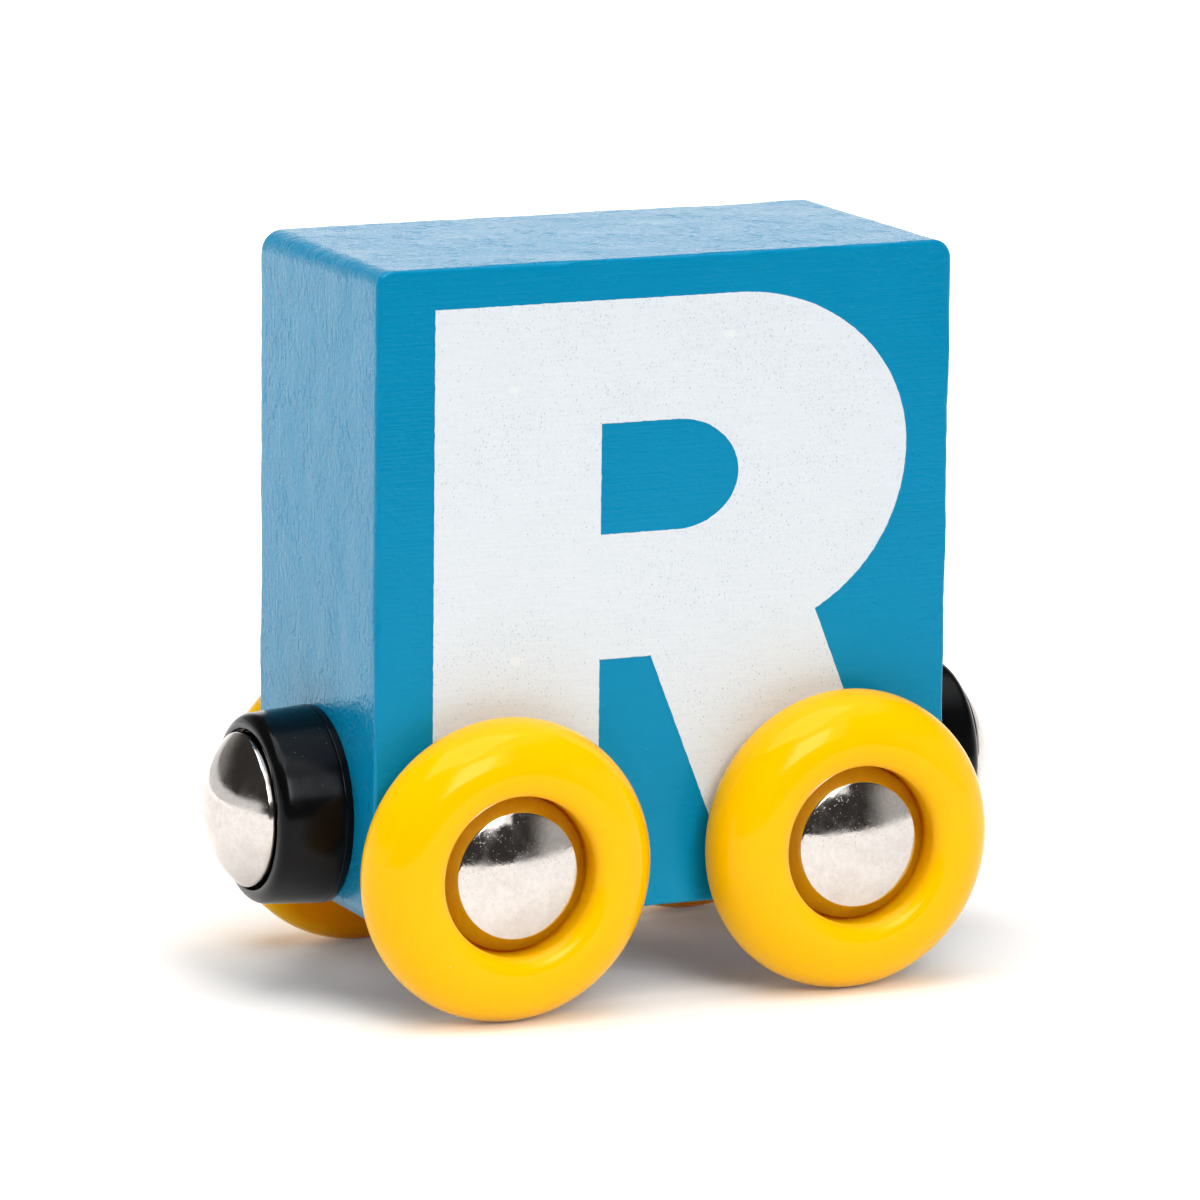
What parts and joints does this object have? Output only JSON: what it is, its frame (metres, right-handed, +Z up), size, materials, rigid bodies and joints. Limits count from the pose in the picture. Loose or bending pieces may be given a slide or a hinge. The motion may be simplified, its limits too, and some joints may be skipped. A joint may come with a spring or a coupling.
{
  "type": "toy train car",
  "caption": "Painted wooden block on plastic wheels with domed hub caps, a letter printed on both sides and a magnet coupling at each end, for toy railway track.",
  "frame": {"origin": "on the floor under the middle of the block, where the wheels stand", "axes": "+X along the track to the front end, +Y across the track to the far face, +Z up"},
  "size_m": [0.0612, 0.0336, 0.0536],
  "materials": {
    "blue_wood": "satin paint over fine grain",
    "white_print": "matt printed paint",
    "yellow_plastic": "gloss",
    "black_plastic": "gloss",
    "nickel": "bright nickel plate",
    "steel": "bright drawn",
    "magnet": "dark sintered"
  },
  "bodies": {
    "car_body": {"block": "blue_wood", "letter_near": "white_print", "letter_far": "white_print", "coupling_base_front": "black_plastic", "coupling_base_rear": "black_plastic", "coupling_shell_front": "black_plastic", "coupling_shell_rear": "black_plastic", "screw_front": "steel", "screw_rear": "steel"},
    "front_axle": {"axle_front": "steel", "cap_front_near": "nickel", "cap_front_far": "nickel", "grip_front_near": "steel", "grip_front_far": "steel"},
    "front_near_wheel": {"wheel_front_near": "yellow_plastic"},
    "front_far_wheel": {"wheel_front_far": "yellow_plastic"},
    "front_magnet": {"magnet_front": "magnet", "pole_cap_front": "nickel"},
    "rear_axle": {"axle_rear": "steel", "cap_rear_near": "nickel", "cap_rear_far": "nickel", "grip_rear_near": "steel", "grip_rear_far": "steel"},
    "rear_near_wheel": {"wheel_rear_near": "yellow_plastic"},
    "rear_far_wheel": {"wheel_rear_far": "yellow_plastic"},
    "rear_magnet": {"magnet_rear": "magnet", "pole_cap_rear": "nickel"}
  },
  "joints": [
    {"name": "front_axle_spin", "type": "hinge", "parent": "car_body", "child": "front_axle", "pos_m": [0.01333, 0, 0.01093], "axis": [0, 1, 0], "continuous": true},
    {"name": "front_near_wheel_spin", "type": "hinge", "parent": "front_axle", "child": "front_near_wheel", "pos_m": [0.01333, 0, 0.01093], "axis": [0, 1, 0], "continuous": true},
    {"name": "front_far_wheel_spin", "type": "hinge", "parent": "front_axle", "child": "front_far_wheel", "pos_m": [0.01333, 0, 0.01093], "axis": [0, 1, 0], "continuous": true},
    {"name": "front_magnet_spin", "type": "hinge", "parent": "car_body", "child": "front_magnet", "pos_m": [0.0223, 0, 0.01371], "axis": [1, 0, 0], "continuous": true},
    {"name": "rear_axle_spin", "type": "hinge", "parent": "car_body", "child": "rear_axle", "pos_m": [-0.01333, 0, 0.01093], "axis": [0, 1, 0], "continuous": true},
    {"name": "rear_near_wheel_spin", "type": "hinge", "parent": "rear_axle", "child": "rear_near_wheel", "pos_m": [-0.01333, 0, 0.01093], "axis": [0, 1, 0], "continuous": true},
    {"name": "rear_far_wheel_spin", "type": "hinge", "parent": "rear_axle", "child": "rear_far_wheel", "pos_m": [-0.01333, 0, 0.01093], "axis": [0, 1, 0], "continuous": true},
    {"name": "rear_magnet_spin", "type": "hinge", "parent": "car_body", "child": "rear_magnet", "pos_m": [-0.0223, 0, 0.01371], "axis": [1, 0, 0], "continuous": true}
  ]
}
